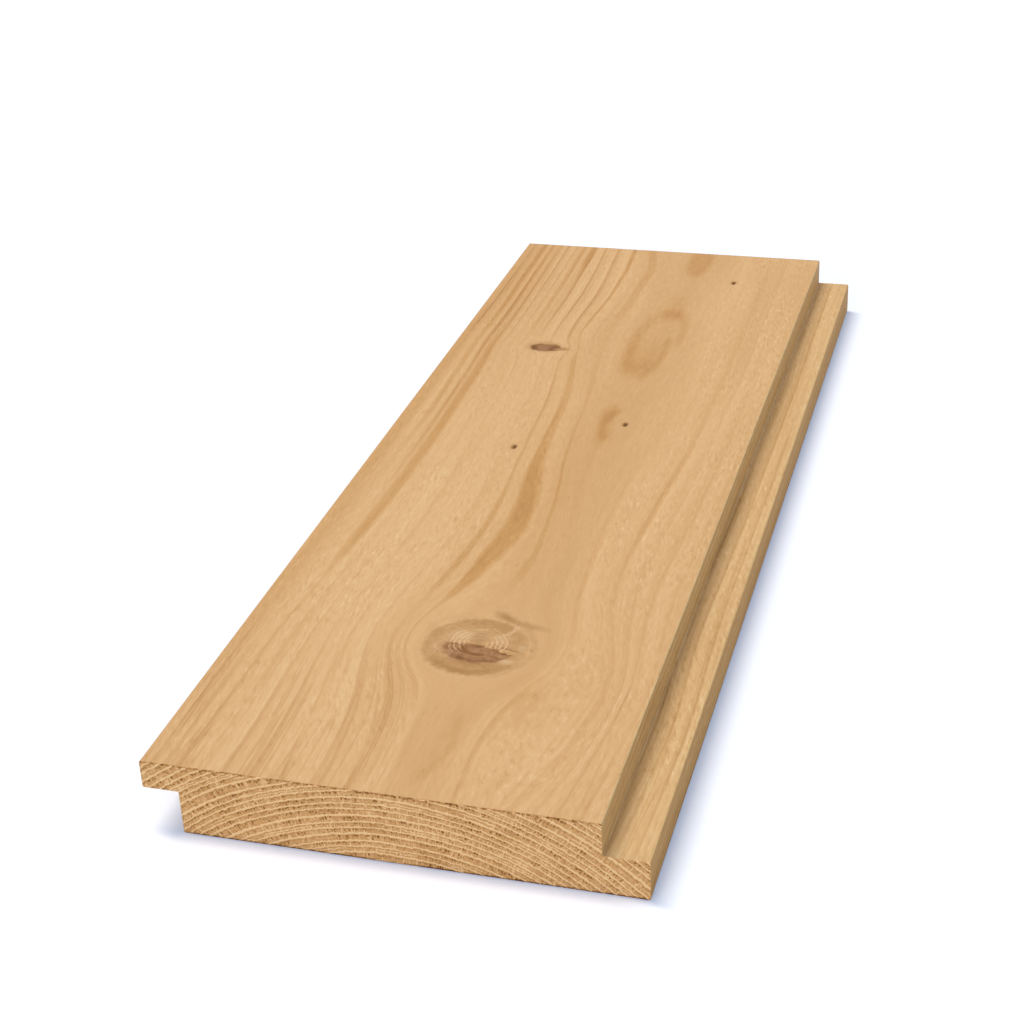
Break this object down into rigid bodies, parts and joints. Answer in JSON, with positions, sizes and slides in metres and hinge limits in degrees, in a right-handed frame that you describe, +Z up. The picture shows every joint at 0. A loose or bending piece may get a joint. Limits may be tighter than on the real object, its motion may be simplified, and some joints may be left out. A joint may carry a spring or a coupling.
{
  "type": "shiplap plank",
  "caption": "Planed wooden plank of half-lap section, with an upper lip along one edge and a lower lip along the other that overlap the next boards.",
  "frame": {"origin": "on the plane of the flat back, midway along the board and midway across its overall width, lips included", "axes": "+X across the board, from the upper lip's edge to the lower lip's edge; +Y along the grain, away from the near end that the picture shows; +Z up, out of the show face"},
  "size_m": [0.14, 0.4, 0.022],
  "materials": {
    "oak": "matte"
  },
  "bodies": {
    "root": {"plank": "oak"}
  },
  "joints": []
}
